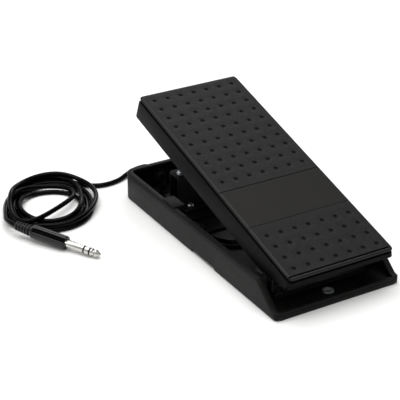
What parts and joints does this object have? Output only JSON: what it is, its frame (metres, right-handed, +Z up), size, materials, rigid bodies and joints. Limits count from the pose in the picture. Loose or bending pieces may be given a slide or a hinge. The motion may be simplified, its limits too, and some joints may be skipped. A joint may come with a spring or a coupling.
{
  "type": "volume pedal",
  "caption": "Foot volume pedal: a long dimpled treadle hinged near the heel of a low moulded tray, with a gear-driven potentiometer and a coiled cord ending in a straight plug.",
  "frame": {"origin": "middle of the pedal's footprint, at floor level", "axes": "+Y towards the toe end, +X to the player's right, +Z up"},
  "size_m": [0.2181, 0.2892, 0.091],
  "materials": {
    "shell_plastic": "satin fine-spark moulded ABS",
    "cover_plastic": "satin moulded vinyl with dimples",
    "rubber": "matt moulded rubber",
    "black_steel": "black passivated pressed steel",
    "zinc_steel": "bright zinc plate",
    "chrome": "polished nickel plate",
    "nylon": "natural acetal",
    "cord_pvc": "semi-gloss extruded PVC",
    "plug_pvc": "moulded PVC",
    "black_nylon": "black moulded nylon"
  },
  "bodies": {
    "base": {"base_tray": "shell_plastic", "rubber_feet": "rubber", "foot_screws": "zinc_steel", "pivot_bracket": "black_steel", "pivot_bracket_screws": "black_steel", "pivot_axle": "chrome", "axle_clips": "black_steel", "friction_washers": "black_nylon", "heel_stop_pads": "rubber", "toe_stop_bracket": "black_steel", "toe_bracket_screws": "zinc_steel", "toe_bumper": "rubber", "bumper_screws": "zinc_steel", "pot_bracket": "black_steel", "pot_bracket_screws": "zinc_steel", "potentiometer": "zinc_steel", "pot_terminals": "chrome", "pot_washer": "zinc_steel", "pot_nut": "zinc_steel", "inner_cable": "cord_pvc", "cable_clamp": "black_nylon", "clamp_screws": "black_steel", "cord_gland": "rubber", "cord_lead": "cord_pvc", "cord_coil": "cord_pvc", "cord_tail": "cord_pvc", "plug_boot": "plug_pvc", "plug_handle": "plug_pvc", "plug_sleeve": "chrome", "plug_rear_insulator": "plug_pvc", "plug_ring": "chrome", "plug_front_insulator": "plug_pvc", "plug_tip": "chrome"},
    "treadle": {"treadle_frame": "shell_plastic", "tread_cover": "cover_plastic", "cover_screws": "zinc_steel", "pivot_bushes": "nylon", "sector_gear": "nylon", "sector_screws": "zinc_steel"},
    "pot_spindle": {"pot_shaft": "chrome", "pinion_gear": "nylon"}
  },
  "joints": [
    {"name": "treadle_pivot", "type": "hinge", "parent": "base", "child": "treadle", "pos_m": [0, -0.0786, 0.015], "axis": [-1, 0, 0], "range_deg": [0, 13.8]},
    {"name": "pot_turn", "type": "hinge", "parent": "base", "child": "pot_spindle", "pos_m": [0.016, -0.02532, 0.02439], "axis": [-1, 0, 0], "range_deg": [-111, 1]}
  ],
  "couplings": [
    {"joint": "pot_turn", "follows": "treadle_pivot", "ratio": -8}
  ]
}
